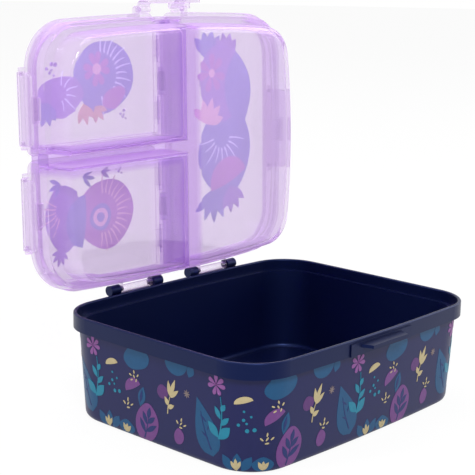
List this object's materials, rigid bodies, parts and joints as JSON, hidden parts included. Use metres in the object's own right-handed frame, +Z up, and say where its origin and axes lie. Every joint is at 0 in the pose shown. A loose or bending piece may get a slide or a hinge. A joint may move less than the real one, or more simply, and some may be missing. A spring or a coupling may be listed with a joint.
{
  "type": "bento lunch box",
  "caption": "Rectangular bento lunch box with a hinged compartment tray that serves as its lid, small hinged lids, snap tabs and a front latch.",
  "frame": {"origin": "centre of the base's underside", "axes": "+X along the hinge, -Y towards the latch side, +Z up, with the tray standing open"},
  "size_m": [0.1978, 0.1713, 0.2142],
  "materials": {
    "base_plastic": "satin moulded polypropylene, opaque navy, printed in the mould",
    "tray_plastic": "translucent lilac moulded polypropylene",
    "lid_plastic": "translucent lilac moulded polypropylene, printed in the mould",
    "clip_plastic": "translucent lilac moulded polypropylene"
  },
  "bodies": {
    "base": {"base": "base_plastic"},
    "tray": {"tray": "tray_plastic"},
    "front_latch": {"front_latch": "clip_plastic"},
    "lid_front_left": {"lid_front_left": "lid_plastic"},
    "tab_front_left": {"tab_front_left": "clip_plastic"},
    "lid_back_left": {"lid_back_left": "lid_plastic"},
    "tab_back_left": {"tab_back_left": "clip_plastic"},
    "lid_right": {"lid_right": "lid_plastic"},
    "tab_right": {"tab_right": "clip_plastic"}
  },
  "joints": [
    {"name": "tray_hinge", "type": "hinge", "parent": "base", "child": "tray", "pos_m": [0, 0.0751, 0.0577], "axis": [1, 0, 0], "range_deg": [0, 91.7]},
    {"name": "latch_hinge", "type": "hinge", "parent": "tray", "child": "front_latch", "pos_m": [0, 0.08708, 0.20871], "axis": [-1, 0, 0], "range_deg": [0, 95]},
    {"name": "lid_front_left_hinge", "type": "hinge", "parent": "tray", "child": "lid_front_left", "pos_m": [0.00005, 0.08962, 0.16954], "axis": [0, -0.0297, -0.9996], "range_deg": [0, 85]},
    {"name": "tab_front_left_hinge", "type": "hinge", "parent": "lid_front_left", "child": "tab_front_left", "pos_m": [-0.0954, 0.08924, 0.15983], "axis": [0, -0.0297, -0.9996], "range_deg": [0, 95]},
    {"name": "lid_back_left_hinge", "type": "hinge", "parent": "tray", "child": "lid_back_left", "pos_m": [0.00005, 0.08746, 0.09652], "axis": [0, -0.0297, -0.9996], "range_deg": [0, 85]},
    {"name": "tab_back_left_hinge", "type": "hinge", "parent": "lid_back_left", "child": "tab_back_left", "pos_m": [-0.0954, 0.08761, 0.10505], "axis": [0, -0.0297, -0.9996], "range_deg": [0, 95]},
    {"name": "lid_right_hinge", "type": "hinge", "parent": "tray", "child": "lid_right", "pos_m": [0.00395, 0.08852, 0.13243], "axis": [0, 0.0297, 0.9996], "range_deg": [0, 85]},
    {"name": "tab_right_hinge", "type": "hinge", "parent": "lid_right", "child": "tab_right", "pos_m": [0.0954, 0.08847, 0.13394], "axis": [0, 0.0297, 0.9996], "range_deg": [0, 95]}
  ]
}
